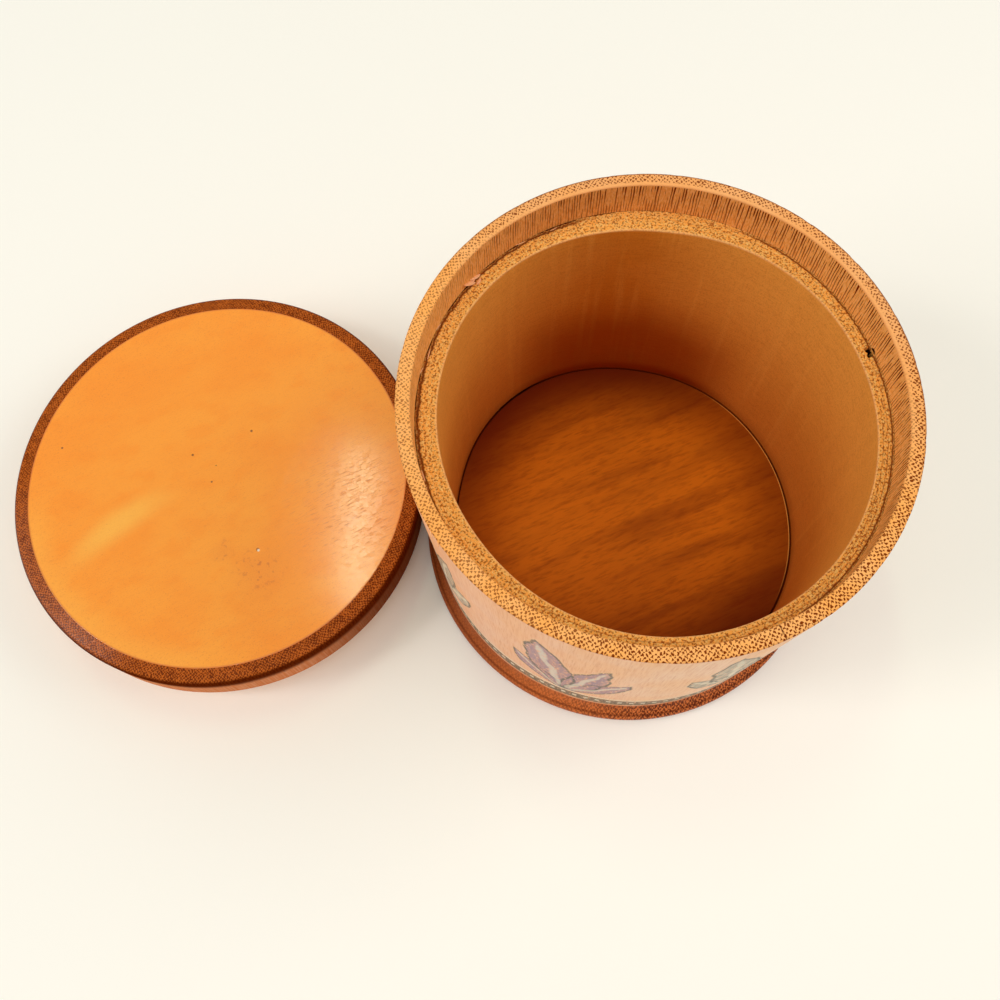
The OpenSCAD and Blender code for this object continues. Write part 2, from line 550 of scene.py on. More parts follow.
def rim_end_grain(size, colour):
    """Sanded end grain: a pale net round brown arches, with a barer inner margin, one crack, and a dark
    outer edge, mostly on the far side, that is partly the bamboo's dark skin and partly painted shade of the
    rounded arris."""
    f = Finish("Rim end grain")
    across = (f.radius - size.socket_r) / (size.rim_r - size.socket_r)
    far = f.side(62, -0.1, 0.75)
    front = f.side(275, -0.4, 0.7)
    dots = f.bundles(0.98, 0.48, size.rim_r, front * 0.1 - 0.06, 0.78) * (front * 0.1 + 0.88)
    left = f.side(188, 0.3, 0.9)
    dots = dots * (1 - left * 0.25)
    dots = dots * (1 - f.step(across, 0.34, 0.16) * (far * 0.9 + 0.1))
    tissue = f.noise((6, 6, 2), detail=3)
    patch = f.noise((0.12, 0.12, 0.1), seed=9)
    f.shade = f.blend(f.step(patch, 0.35, 0.65) * 0.5, colour.rim, colour.rim_pale)
    f.lay(f.step(tissue, 0.42, 0.72) * 0.3, colour.ledge)
    f.lay(far * 0.3, colour.wall_fibre)
    f.lay(dots, colour.bundle)
    # Dark outer edge, mostly on the far side: partly the bamboo's dark skin, partly painted shade of the
    # rounded arris
    edge = f.step(across, 0.8, 0.97) * (far * 0.85 + 0.1)
    f.lay(edge, colour.socket_dark)
    _, beside, _ = f.parts(f.stretched((1, 1, 0), turn=CRACK_BEARING))
    crack = f.step(abs(beside + (tissue - 0.5) * 0.6), 0.22, 0.08) * f.side(CRACK_BEARING, 0, 1)
    f.lay(crack * 0.7, colour.dark_stain_and_shade)
    return f.surface(tissue * 0.2 + 0.5, dots * -0.04 + tissue * 0.03, specular=0.0)


def socket_wall(size, colour):
    """Turned wall above the sleeve: tan with upright dark fibres, plainest on the near left, with a spot of
    painted shade beside the broken chip.
    """
    f = Finish("Socket fibres")
    phase = f.columns(0.6, size.socket_r, 0.7, seed=3)
    broken = f.noise((1.1, 1.1, 0.16), detail=3, seed=2)
    fuzz = f.noise((4.5, 4.5, 0.9), detail=3, seed=8)
    line = f.step(f.math("COSINE", phase) + (broken - 0.5) * 4.0, 0.45, 0.85)
    strong = f.side(40, -0.6, 0.75) * 0.7 + 0.3
    top = f.step(f.z, size.ledge_z + 2, size.body_h - 1)
    f.shade = f.blend(f.step(fuzz, 0.3, 0.7) * 0.5, colour.socket, colour.ledge)
    f.lay(f.side(96, 0.5, 1.0) * 0.25, colour.stain)
    f.lay(f.step(fuzz, 0.5, 0.62) * 0.3, colour.stain)
    f.lay(f.step(fuzz, 0.47, 0.36) * 0.6, colour.rim_pale)
    f.lay(line * strong * (top * 0.4 + 0.6), colour.socket_dark)
    # Painted shade on the wall beside the broken chip
    turn = math.radians(CHIP_BEARING)
    mark = (size.socket_r * math.cos(turn), size.socket_r * math.sin(turn), size.ledge_z)
    f.lay(f.step(f.measure("DISTANCE", f.place, mark), 0.9, 0.5), colour.seam)
    f.lay(f.step(f.z, size.ledge_z + 0.1, size.ledge_z - 0.2), colour.socket_dark)
    return f.surface(fuzz * 0.25 + 0.5, fuzz * 0.06 - line * 0.06, specular=0.0)


# The print: tufts round the wall and their turn as a share of one, bars to a tuft, and the heights of the
# tufts' roots, of the band, its bars and the thin line over it, in millimetres
TUFTS = 8
TUFT_TURN = 0.99
BARS = 14
TUFT_ROOT = 19.0
BAND_Z = 14.5
BARS_Z = 15.0
THIN_Z = 20.0
# Leaves of a tuft: lean from upright in degrees, length and half width in millimetres
TUFT_LEAVES = ((-26, 30, 3.6), (25, 32, 3.8), (-8, 54, 5.2), (10, 46, 4.0))


def leaf_print(f, size):
    """A repeating print of tufts of broad leaves over a band. Round the wall, tuft places are bearing *
    count / full turn. A leaf is the lens 1 - (2 s - 1)^2 - |t|, with s along it and t across it. Gives
    the shares of leaf, line and cream ink, and which tufts are dark."""
    girth = 2 * math.pi * (size.rim_r + size.waist_r) / 2
    turns = f.math("ARCTAN2", f.y, f.x) * (TUFTS / (2 * math.pi)) + TUFTS + TUFT_TURN
    dark = f.math("MODULO", f.math("FLOOR", turns), 2)
    aside = (f.math("FRACT", turns) - 0.5) * (girth / TUFTS) + (f.noise((0.2, 0.2, 0.1)) - 0.5) * 3
    rise = f.z - TUFT_ROOT - dark * 4
    leaf, line, vein = 0.0, 0.0, 0.0
    for lean, long, half in TUFT_LEAVES:
        turn = math.radians(lean)
        along = (rise * math.cos(turn) + aside * math.sin(turn)) / long
        off = abs(aside * math.cos(turn) - rise * math.sin(turn)) / half
        bulge = 1 - f.math("POWER", abs(along * 2 - 1), 2) - off
        leaf = f.math("MAXIMUM", leaf, f.step(bulge, 0.0, 0.15))
        line = f.math("MAXIMUM", line, f.step(abs(bulge - 0.06), 0.12, 0.03))
        vein = f.math("MAXIMUM", vein, f.step(off, 0.2, 0.08) * f.step(bulge, 0.2, 0.4))
    band = f.step(abs(f.z - BAND_Z), 4.4, 3.8)
    bars = f.math("COSINE", turns * (2 * math.pi * BARS))
    bars = f.step(bars, 0.2, 0.5) * f.step(abs(f.z - BARS_Z), 1.3, 0.9)
    thin = f.step(abs(f.z - THIN_Z), 0.7, 0.5)
    cream = f.math("MAXIMUM", f.math("MAXIMUM", bars, thin), vein * 0.7)
    return SimpleNamespace(leaf=leaf, line=f.math("MAXIMUM", line, band), cream=cream, dark=dark)


def printed_wall(size, colour):
    """Outside of the shell: fine upright fibres, a worn print, and stain that fades up from the foot."""
    f = Finish("Printed wall")
    fibre = f.noise((2.4, 2.4, 0.05), detail=3)
    hair = f.step(f.noise((5, 5, 0.07), detail=1, seed=4), 0.58, 0.7)
    patch = f.noise((0.08, 0.08, 0.05), seed=7)
    f.shade = f.blend(f.step(patch, 0.3, 0.7) * 0.6, colour.wall, colour.rim_pale)
    f.lay(f.step(fibre, 0.4, 0.75) * 0.4, colour.wall_fibre)
    f.lay(hair * 0.25, colour.stain)
    # A brown wash that darkens the wall's left side, towards the lid
    f.lay(f.side(205, 0.3, 0.9) * 0.22, colour.stain)
    ink = leaf_print(f, size)
    worn = f.step(f.noise((1.6, 1.6, 0.5), detail=4, seed=2), 0.25, 0.5) * 0.85
    mottle = f.step(f.noise((0.7, 0.7, 0.1), detail=3, seed=5), 0.35, 0.65)
    light = f.blend(mottle * 0.35, colour.ink_violet, colour.wall_fibre)
    deep = f.blend(mottle * 0.4 + 0.25, colour.ink_green, colour.ink_cream)
    f.lay(ink.leaf * worn, f.blend(ink.dark, light, deep))
    f.lay(ink.line * worn, colour.ink_green)
    f.lay(ink.cream * worn, colour.ink_cream)
    low = f.step(f.z + (f.noise((0.3, 0.3, 0.3), seed=8) - 0.5) * 3, size.foot_h + 2.5, size.foot_h)
    f.lay(low * 0.85, colour.stain)
    high = f.step(f.z, size.body_h - 1.2, size.body_h - 0.4)
    f.lay(high * 0.6, colour.wall_fibre)
    return f.surface(fibre * 0.2 + 0.4, fibre * 0.03 - hair * 0.03, specular=0.25)


def stained_foot(size, colour):
    """Brown stained foot: dotted end grain, a dark line under the hollow, a darker round edge, and painted
    shade on the side towards the lid.
    """
    f = Finish("Stained foot")
    dots = f.bundles(0.98, 0.5, size.waist_r, 0.28)
    arris_z = size.foot_round * (ROUND_RISE + math.sin(math.radians(ROUND_TOP)))
    wobble = (f.noise((0.6, 0.6, 0.6), seed=2) - 0.5) * 0.5
    below = f.step(f.z + wobble, arris_z - 0.7, arris_z - 2.0)
    line = f.step(abs(f.z + wobble * 0.5 - arris_z + 0.15), 0.4, 0.1)
    tissue = f.noise((5, 5, 1.5), detail=3)
    plain = f.side(200, 0.2, 0.9)
    f.shade = f.blend(tissue * 0.25, colour.stain, colour.wall_fibre)
    f.lay(dots * (0.9 - plain * 0.6), colour.dark_stain_and_shade)
    deep = f.blend(f.step(tissue, 0.35, 0.7) * 0.4, colour.dark_stain_and_shade, colour.stain)
    f.lay(below * 0.12, deep)
    f.lay(line * 0.5, colour.dark_stain_and_shade)
    # Painted shade on the foot's side towards the lid
    f.lay(f.side(188, 0.5, 0.95) * 0.45, colour.dark_stain_and_shade)
    return f.surface(tissue * 0.2 + 0.4, tissue * 0.015 - dots * 0.02, specular=0.08)


def ledge_end_grain(size, colour):
    """Rough turned end grain of the sleeve: pale worm-like tissue between brown pores, turned lines, a pale
    lip, a dark seam that is torn on the left, and painted shade in the chip where the surface drops below
    the ledge."""
    f = Finish("Ledge end grain")
    plain = f.attribute("plain_radius")
    curl = f.noise((1.5, 1.5, 0.3), detail=2.5)
    fine = f.noise((2.3, 2.3, 0.4), detail=2.5, seed=4)
    worm = f.step(abs(curl - 0.52), 0.07, 0.01)
    pore = f.step(fine, 0.5, 0.62)
    rough = f.noise((0.9, 0.9, 0.2), detail=3, seed=7)
    f.shade = f.blend(worm * 0.9, colour.ledge, colour.ledge_pale)
    f.lay(pore * 0.75, colour.pore)
    inner, outer = (abs(plain - line_r) for line_r in TURNED_LINES)
    lines = f.step(inner, 0.2, 0.05) + f.step(outer, 0.24, 0.06)
    lines = lines * f.side(292, 0.1, 0.7) * f.step(rough, 0.3, 0.55) * 0.4
    f.lay(lines, colour.socket_dark)
    torn = f.side(TORN_BEARING, 0.35, 0.85)
    bare = f.side(82, 0.88, 0.97)
    inset = size.socket_r - plain + (rough - 0.5) * 0.6
    band = f.step(abs(inset - 0.36), torn * 0.14 + 0.36, torn * 0.1 + 0.1) * (1 - bare)
    f.lay(band * 0.75, colour.socket_dark)
    seam = f.step(abs(inset - 0.45), 0.2, 0.06) * f.step(fine, 0.65, 0.45) * (1 - bare)
    f.lay(seam * (torn * 0.4 + 0.4), colour.dark_stain_and_shade)
    f.lay(f.step(plain, size.bore_r + 0.36, size.bore_r + 0.2) * 0.6, colour.rim_pale)
    # Painted shade in the bottom of the broken chip
    f.lay(f.step(f.z, size.ledge_z - 0.6, size.ledge_z - 1.2), colour.seam)
    return f.surface(0.6, worm * 0.05 - pore * 0.05 - band * 0.1, specular=0.0)


def varnished_bore(size, colour):
    """Satin inside of the sleeve: fine turning marks and cloudy tone, with painted light on its sides and in
    upright streaks, and painted shade low at the back and near the floor.
    """
    f = Finish("Varnished bore")
    marks = f.noise((0.3, 0.3, 2.6), detail=4, roughness=0.6)
    cloud = f.noise((0.05, 0.05, 0.06), detail=3, seed=3)
    grain = f.noise((3.4, 3.4, 1.6), detail=3, seed=5)
    wave = (f.noise((0.03, 0.03, 0.01), seed=6) - 0.5) * 30
    # Painted shade low at the back of the bore and near the floor
    back = f.side(86, 0.7, 0.96)
    deep = f.step(f.z + wave, 48, 24) * back * 0.75 + f.step(f.z, 9, 4) * 0.3
    f.shade = f.blend(f.step(cloud, 0.35, 0.7) * 0.14, colour.bore, colour.ledge)
    # Painted light on the right and left sides of the bore
    side = f.side(5, -0.1, 0.8) * 0.85 + f.side(172, 0.0, 0.85) * 0.75
    f.lay(side * (f.step(f.z, 15, 70) * 0.4 + 0.5), colour.bore_painted_light)
    # Painted reflections in soft upright streaks
    streak = f.noise((0.5, 0.5, 0.015), detail=3, seed=11)
    f.lay(f.step(streak, 0.5, 0.72) * 0.25, colour.bore_painted_light)
    f.lay(deep, colour.bore_grain_and_shade)
    f.lay(f.step(marks, 0.42, 0.68) * 0.14, colour.bore_grain_and_shade)
    f.lay(f.step(grain, 0.42, 0.72) * 0.24, colour.bore_grain_and_shade)
    f.lay(f.step(f.z, size.ledge_z - 0.8, size.ledge_z - 0.4) * 0.4, colour.rim_pale)
    return f.surface(marks * 0.15 + 0.36, marks * 0.02 + grain * 0.01, specular=0.12)


def floor_grain(size, colour):
    """Brown floor: long soft streaks across the disc, with painted shade round its edge, most at its far
    left and near side, painted shade over its front and in the scored line, and a painted highlight on the
    line's inner edge on the right.
    """
    f = Finish("Floor grain")
    slant = 21
    plain = f.attribute("plain_radius")
    streak = f.noise((0.014, 0.13, 0.02), detail=5, turn=slant, roughness=0.62)
    fine = f.noise((0.3, 1.6, 0.1), detail=4, seed=4, turn=slant)
    patch = f.noise((0.04, 0.06, 0.02), seed=7, turn=slant)
    f.shade = f.blend(f.step(streak, 0.44, 0.7) * 0.5, colour.floor, colour.floor_streaks_and_shade)
    f.lay(f.step(fine, 0.42, 0.75) * 0.32, colour.floor_streaks_and_shade)
    f.lay(f.step(patch, 0.5, 0.75) * 0.3, colour.bore)
    # Painted shade round the floor's edge, most at the far left and the near side, and over the front
    far = f.side(112, 0.3, 0.95)
    edge = f.step(plain, size.bore_r - 20, size.bore_r)
    near = f.side(275, 0.3, 0.9)
    f.lay(edge * (far * 0.4 + near * 0.4 + 0.6), colour.floor_streaks_and_shade)
    f.lay(f.step(f.y, -8, -36) * 0.22, colour.floor_streaks_and_shade)
    # Painted highlight on the inner edge of the scored line, on the right
    beside = abs(plain - size.bore_r + size.score_w + 0.12)
    painted_edge_highlight = f.step(beside, 0.16, 0.08) * f.side(12, 0.7, 0.95)
    f.lay(painted_edge_highlight * 0.8, colour.ledge)
    # Painted shade in the scored line
    f.lay(f.step(f.z, size.floor_t - 0.02, size.floor_t - 0.25) * 0.9, colour.dark_stain_and_shade)
    return f.surface(fine * 0.2 + 0.45, fine * 0.02, specular=0.08)


def lid_edge_stain(size, colour):
    """Lid ring: dark dots in a lighter net on its sloping top, dark stain over the roll, and a tan side wall
    with painted shade on the side that faces the canister."""
    f = Finish("Lid edge stain", LID_CENTRE)
    dots = f.bundles(0.84, 0.42, size.rim_r, 0.25, 0.95, seed=2)
    tissue = f.noise((5, 5, 1.5), detail=3)
    fibre = f.noise((2.4, 2.4, 0.06), detail=3, seed=3)
    net = f.blend(f.step(tissue, 0.4, 0.7) * 0.15, colour.stain, colour.ledge)
    top = f.blend(dots * 0.62 + 0.24, net, colour.dark_stain_and_shade)
    roll_z = size.edge_z - size.roll_drop
    soaked = f.z + (fibre - 0.5) * 2
    roll = f.step(f.z, roll_z + 1.15, roll_z + 0.7) * f.step(soaked, roll_z - 5, roll_z - 1.8)
    side = f.blend(f.step(fibre, 0.3, 0.7) * 0.5 + 0.35, colour.stain, colour.wall_fibre)
    side = f.blend(f.step(f.z, size.ring_z + 1.6, size.ring_z + 0.4) * 0.6, side, colour.stain)
    # Painted shade: the side that faces the canister is darkened to stand for its shadow
    side = f.blend(f.side(350, 0.5, 0.95) * 0.85, side, colour.dark_stain_and_shade)
    f.shade = f.blend(f.step(f.z, roll_z - 0.2, roll_z - 3.0), top, side)
    f.lay(roll * 0.9, colour.dark_stain_and_shade)
    relief = tissue * 0.015 - dots * 0.02 * f.step(f.z, roll_z, roll_z + 0.8)
    low = f.step(f.z, roll_z + 1.0, roll_z + 0.6)
    gloss = (f.side(214, 0.8, 0.97) * 0.16 + 0.03) * (1 - low)
    return f.surface(tissue * 0.12 + 0.16 + low * 0.3, relief, specular=gloss)


# Marks on the lid: place from its middle and half width, in millimetres
LID_SPECKS = (
    (-6.4, 5.6, 0.4), (7.8, 11.4, 0.4), (-1.2, -1.6, 0.32), (-0.4, 2.6, 0.2), (-39.3, 9.0, 0.35),
)
LID_CHIP = (11.1, -19.2, 0.4)
LID_SMUDGES = ((11.5, -24.0, 9.0), (2.5, -19.0, 4.0), (33.0, -12.5, 3.0))
# Bearings of the lid's grain and of the painted sheen streak
LID_GRAIN_TURN = 24
SHEEN_STREAK_TURN = 37


def varnished_panel(size, colour):
    """Orange satin varnish over fine pored wood: slanting grain, small scratches, specks and a smudge, with
    painted sheen along its lower left edge and in a soft streak on its left.
    """
    f = Finish("Varnished lid", LID_CENTRE)
    cloud = f.noise((0.035, 0.05, 0.05), detail=3, turn=LID_GRAIN_TURN)
    grain = f.noise((0.5, 2.6, 0.1), detail=3, seed=3, turn=LID_GRAIN_TURN)
    pore = f.step(f.noise((1.6, 3.2, 1), detail=2, seed=5, turn=LID_GRAIN_TURN), 0.62, 0.74)
    scratch = f.step(f.noise((0.45, 4.4, 0.3), detail=2, seed=8, turn=LID_GRAIN_TURN + 2), 0.57, 0.64)
    scratch = scratch * f.near(33, -8, 24, 0.8)
    stipple = f.step(f.noise((3.2, 4.6, 1), detail=2, seed=12, turn=LID_GRAIN_TURN), 0.55, 0.7)
    patch = f.noise((0.16, 0.26, 0.1), detail=4, seed=15, turn=LID_GRAIN_TURN)
    f.shade = f.blend(f.step(cloud, 0.35, 0.68) * 0.7, colour.panel, colour.panel_deep)
    f.lay(f.step(patch, 0.45, 0.7) * 0.5 + f.step(f.x, 5, -45) * 0.4, colour.panel_deep)
    # Painted sheen along the panel's lower left edge
    painted_edge_sheen = f.step(f.radius, 39, 45.5) * f.side(228, 0.6, 0.97)
    f.lay(painted_edge_sheen * 0.3, colour.panel_painted_sheen)
    # Painted sheen: a soft light streak on the panel's left
    sheen_streak_axes = f.parts(f.stretched((1, 1, 0), turn=SHEEN_STREAK_TURN))
    bow = sheen_streak_axes[1] - 5 + (sheen_streak_axes[0] + 26) * (sheen_streak_axes[0] + 26) * 0.008
    gap = f.measure("LENGTH", f.joined((sheen_streak_axes[0] + 26) / 19, bow / 5, 0))
    f.lay(f.step(gap, 1.1, 0.1) * 0.6, colour.panel_painted_sheen)
    f.lay(f.step(grain, 0.45, 0.75) * 0.08, colour.stain)
    f.lay(stipple * 0.28, colour.stain)
    f.lay(pore * 0.2, colour.stain)
    f.lay(scratch * 0.5, colour.stain)
    spots = f.step(f.noise((0.8, 0.8, 0.8), detail=3, seed=6), 0.55, 0.68)
    for x, y, wide in LID_SMUDGES:
        f.lay(f.near(x, y, wide, 0.9) * (spots * 0.6 + 0.12), colour.stain)
    for x, y, wide in LID_SPECKS:
        f.lay(f.near(x, y, wide, 0.6) * 0.85, colour.dark_stain_and_shade)
    f.lay(f.near(LID_CHIP[0] - 0.2, LID_CHIP[1] + 0.2, LID_CHIP[2] * 1.3) * 0.7, colour.bundle)
    f.lay(f.near(*LID_CHIP) * 0.9, colour.ink_cream)
    f.lay(f.step(f.radius, size.panel_r - 0.6, size.panel_r - 0.1) * 0.7, colour.stain)
    relief = grain * 0.003 - pore * 0.004 - scratch * 0.01
    return f.surface(grain * 0.06 + 0.11 + scratch * 0.1, relief, specular=0.5)


def plug_bamboo(size, colour):
    """Bare turned bamboo under the lid: upright fibres on its walls and dots on its end."""
    f = Finish("Plug bamboo", LID_CENTRE)
    fibre = f.noise((2.2, 2.2, 0.08), detail=3)
    dots = f.bundles(0.98, 0.46, size.panel_r, seed=4) * f.step(f.z, 0.35, 0.1)
    gash = f.step(f.noise((1.1, 1.1, 0.03), detail=2, seed=2), 0.6, 0.7)
    f.shade = f.blend(f.step(fibre, 0.3, 0.7), colour.plug, colour.rim_pale)
    f.lay(f.math("MAXIMUM", dots, gash * 0.5) * 0.8, colour.bundle)
    return f.surface(fibre * 0.2 + 0.5, fibre * 0.05 - dots * 0.05)


def torn_fibre(colour):
    """Pale raw fibre."""
    f = Finish("Torn fibre")
    strand = f.noise((4, 4, 4), detail=3)
    f.shade = f.blend(f.step(strand, 0.3, 0.7), colour.rim_pale, colour.wall_fibre)
    return f.surface(strand * 0.2 + 0.6, strand * 0.04)


# Pieces

# Bearings once round a piece with a worn edge, a plain one, and the lid's panel
FINE_TURN = 900
PLAIN_TURN = 720
PANEL_TURN = 600
# Steps along the stretches whose points are moved afterwards
ARRIS_STEPS = 6
GROOVE_STEPS = 6
LEDGE_STEPS = 40
RISE_STEPS = 3
# Radius of the first ring round the axis under a disc, in millimetres
HUB_R = 1.0


class CANISTER_OT_shell(bpy.types.Operator):
    """Turn the shell: flared foot, leaning wall, dotted rim and the socket for the lid"""

    bl_idname = "canister.shell"
    bl_label = "Bamboo Shell"

    def execute(self, context):
        size = in_mm(context.scene.canister_sizes)
        colour = paints()
        outline = self.outline(size)
        angles = full_turn(FINE_TURN)
        radius, height = outline.turned(angles)
        wear = edge_wear(angles, seed=11, slow=12, fast=90, spared=0.7, depth=0.04)
        arris = outline.parts["arris"]
        radius[:, arris] -= wear
        height[:, arris] -= wear * np.linspace(0, 0.6, ARRIS_STEPS)
        finishes = [stained_foot(size, colour), printed_wall(size, colour)]
        finishes += [rim_end_grain(size, colour), socket_wall(size, colour)]
        piece = turned_piece(
            "bamboo_shell", angles, radius, height, outline.zones, finishes, CANISTER_CENTRE,
        )
        settle(piece, "canister", "outer_shell")
        return {"FINISHED"}

    def outline(self, size):
        """Base, round edge and hollow of the foot, then the wall, the rim, the socket and the seam. The
        hollow is an arc that ends upright where it meets the wall."""
        foot, wall, rim, socket = range(4)
        round_r = size.waist_r + size.foot_flare - size.foot_round
        round_z = ROUND_RISE * size.foot_round
        start = -math.degrees(math.asin(round_z / size.foot_round))
        arris_r = round_r + size.foot_round * math.cos(math.radians(ROUND_TOP))
        arris_z = round_z + size.foot_round * math.sin(math.radians(ROUND_TOP))
        hollow_turn = 2 * math.atan((arris_r - size.waist_r) / (size.foot_h - arris_z))
        hollow_r = (size.foot_h - arris_z) / math.sin(hollow_turn)
        base_r = round_r + size.foot_round * math.cos(math.radians(start))
        outline = Outline((size.floor_r, 0))
        outline.line("base", foot, (base_r, 0), 5)
        outline.arc("edge", foot, (round_r, round_z), size.foot_round, start, ROUND_TOP, 16)
        centre = (size.waist_r + hollow_r, size.foot_h)
        outline.arc("hollow", foot, centre, hollow_r, 180 + math.degrees(hollow_turn), 180, 14)
        top = size.body_h - size.ease
        outline.line("wall", wall, (size.rim_r, top), 12)
        outline.arc("arris", rim, (size.rim_r - size.ease, top), size.ease, 0, 90, ARRIS_STEPS)
        inner_r = size.socket_r + size.ease
        outline.line("rim", rim, (inner_r, size.body_h), 10)
        outline.arc("mouth", rim, (inner_r, top), size.ease, 90, 180, 4)
        outline.line("socket", socket, (size.socket_r, size.ledge_z), 8)
        outline.line("seam", socket, (size.floor_r, size.floor_t), 8)
        outline.line("seat", foot, (size.floor_r, 0), 2)
        return outline


# Wear of the ledge in millimetres: depth and half width of a turned line, roughness of the cut, and how far
# inside the shell the chip lies
LINE_DEPTH = 0.12
LINE_HALF = 0.14
CUT_ROUGHNESS = 0.03
CHIP_INSET = 0.55
# Half of the arc round the chip that has more bearings, in radians, and how many
CHIP_ARC = 0.05
CHIP_TURNS = 90


class CANISTER_OT_sleeve(bpy.types.Operator):
    """Turn the sleeve: varnished bore, rough ledge with a worn seam outside it, and one broken chip"""

    bl_idname = "canister.sleeve"
    bl_label = "Bamboo Sleeve"

    def execute(self, context):
        size = in_mm(context.scene.canister_sizes)
        colour = paints()
        outline = self.outline(size)
        near_chip = math.radians(CHIP_BEARING) + np.linspace(-CHIP_ARC, CHIP_ARC, CHIP_TURNS)
        angles = np.sort(np.concatenate([full_turn(FINE_TURN), near_chip]))
        radius, height = outline.turned(angles)
        radius += self.wander(size, outline, angles)
        self.tear_seam(size, outline, angles, radius)
        self.cut_ledge(outline, height)
        self.break_chip(size, outline, angles, radius, height)
        finishes = [ledge_end_grain(size, colour), varnished_bore(size, colour)]
        piece = turned_piece(
            "bamboo_sleeve", angles, radius, height, outline.zones, finishes, CANISTER_CENTRE,
            plain=outline.points[:, 0],
        )
        settle(piece, "canister", "inner_sleeve")
        return {"FINISHED"}

    def outline(self, size):
        """Foot, glued seam, worn groove, ledge, lip and bore."""
        ledge, bore = range(2)
        lean = (size.socket_r - size.floor_r) / (size.ledge_z - size.floor_t)
        cut_z = size.ledge_z - size.groove_d
        cut_r = size.socket_r - lean * size.groove_d
        inner_r = size.bore_r + size.ease
        lip_z = size.ledge_z - size.ease
        outline = Outline((size.bore_r, size.floor_t))
        outline.line("foot", bore, (size.floor_r, size.floor_t), 3)
        outline.line("seam", bore, (cut_r, cut_z), 4)
        outline.line("groove", ledge, (size.socket_r, size.ledge_z), GROOVE_STEPS)
        outline.line("ledge", ledge, (inner_r, size.ledge_z), LEDGE_STEPS)
        outline.arc("lip", ledge, (inner_r, lip_z), size.ease, 90, 180, 5)
        outline.line("bore", bore, (size.bore_r, size.floor_t), 14)
        return outline

    def wander(self, size, outline, angles):
        """How far each point moves with the bore: the whole offset at the bore, and none at the shell."""
        plain, height = outline.points.T
        at_ledge, at_floor = (offset[:, None] for offset in bore_wander(angles))
        rise = (height - size.floor_t) / (size.ledge_z - size.floor_t)
        depth = np.clip((size.socket_r - plain) / (size.socket_r - size.bore_r), 0, 1)
        at_base = np.clip((size.floor_r - plain) / (size.floor_r - size.bore_r), 0, 1)
        share = np.where(rise < 0.01, at_base, depth)
        share[outline.parts["seam"]] = 0
        share[outline.parts["groove"]] = 0
        return share * (at_floor + (at_ledge - at_floor) * rise)

    def tear_seam(self, size, outline, angles, radius):
        """Widens the worn seam with a ragged edge where it is torn."""
        torn = ramp(np.cos(angles - math.radians(TORN_BEARING)), 0.35, 0.9)
        broken = ramp(round_noise(angles, 3, 8, 60), -0.5, 0.4)
        ragged = np.clip(1 + 0.4 * round_noise(angles, 5, 40, 400), 0.3, 2)
        width = ((size.groove_w + size.torn_w * torn * broken) * ragged)[:, None]
        radius[:, outline.parts["groove"]] -= width * np.linspace(0.25, 0.95, GROOVE_STEPS)
        radius[:, outline.parts["ledge"]] -= width * np.linspace(1, 0, LEDGE_STEPS, endpoint=False)

    def cut_ledge(self, outline, height):
        """Cuts the turned lines into the ledge and roughens it."""
        top = outline.parts["ledge"]
        for line_r in TURNED_LINES:
            away = (outline.points[top, 0] - line_r) / LINE_HALF
            height[:, top] -= LINE_DEPTH * np.exp(-(away**2))
        draw = np.random.default_rng(21)
        height[:, top] -= np.abs(draw.normal(0, CUT_ROUGHNESS, height[:, top].shape))

    def break_chip(self, size, outline, angles, radius, height):
        """Breaks a ragged chip out of the ledge, beside the shell."""
        top = outline.parts["ledge"]
        at = math.radians(CHIP_BEARING)
        spot_r = size.socket_r - CHIP_INSET
        away_x = radius[:, top] * np.cos(angles)[:, None] - spot_r * math.cos(at)
        away_y = radius[:, top] * np.sin(angles)[:, None] - spot_r * math.sin(at)
        way = np.arctan2(away_y, away_x)
        ragged = 1 + 0.22 * np.sin(3 * way + 1) + 0.15 * np.sin(5 * way)
        inside = ramp(np.hypot(away_x, away_y) / ragged, size.chip_r * 1.15, size.chip_r * 0.75)
        height[:, top] -= size.chip_d * inside


# The floor in millimetres: the width inside the bore that follows its wander, and how much wider the scored
# line gets, with the bearing in degrees where it does
FOLLOW_W = 12
SCORE_WIDER = 0.5
SCORE_WIDE_BEARING = 15


class CANISTER_OT_floor(bpy.types.Operator):
    """Turn the floor disc, with a line scored round it where it meets the bore"""

    bl_idname = "canister.floor"
    bl_label = "Floor Disc"

    def execute(self, context):
        size = in_mm(context.scene.canister_sizes)
        colour = paints()
        score_in = size.bore_r - size.score_w
        deepest = (size.bore_r - size.score_w / 2, size.floor_t - size.score_d)
        outline = Outline((HUB_R, 0))
        outline.line("under", 0, (size.floor_r, 0), 12)
        outline.line("side", 0, (size.floor_r, size.floor_t), 2)
        outline.line("rest", 0, (size.bore_r, size.floor_t), 2)
        outline.line("score", 0, deepest, 3)
        outline.line("rise", 0, (score_in, size.floor_t), RISE_STEPS)
        outline.line("top", 0, (0, size.floor_t), 24)
        angles = full_turn(PLAIN_TURN)
        radius, height = outline.turned(angles)
        plain = outline.points[:, 0]
        wander = bore_wander(angles)[1][:, None]
        near = np.clip((plain - size.bore_r) / FOLLOW_W + 1, 0, 1) * (plain <= size.bore_r)
        upper = outline.points[:, 1] > size.floor_t / 2
        radius += wander * near * upper
        wide = ramp(np.cos(angles - math.radians(SCORE_WIDE_BEARING)), 0.55, 0.95)[:, None]
        radius[:, outline.parts["rise"]] -= SCORE_WIDER * wide * np.linspace(0.5, 1, RISE_STEPS)
        poles = (0, size.floor_t)
        finishes = [floor_grain(size, colour)]
        piece = turned_piece(
            "floor_board", angles, radius, height, outline.zones, finishes, CANISTER_CENTRE, poles, plain,
        )
        settle(piece, "canister", "floor_disc")
        return {"FINISHED"}


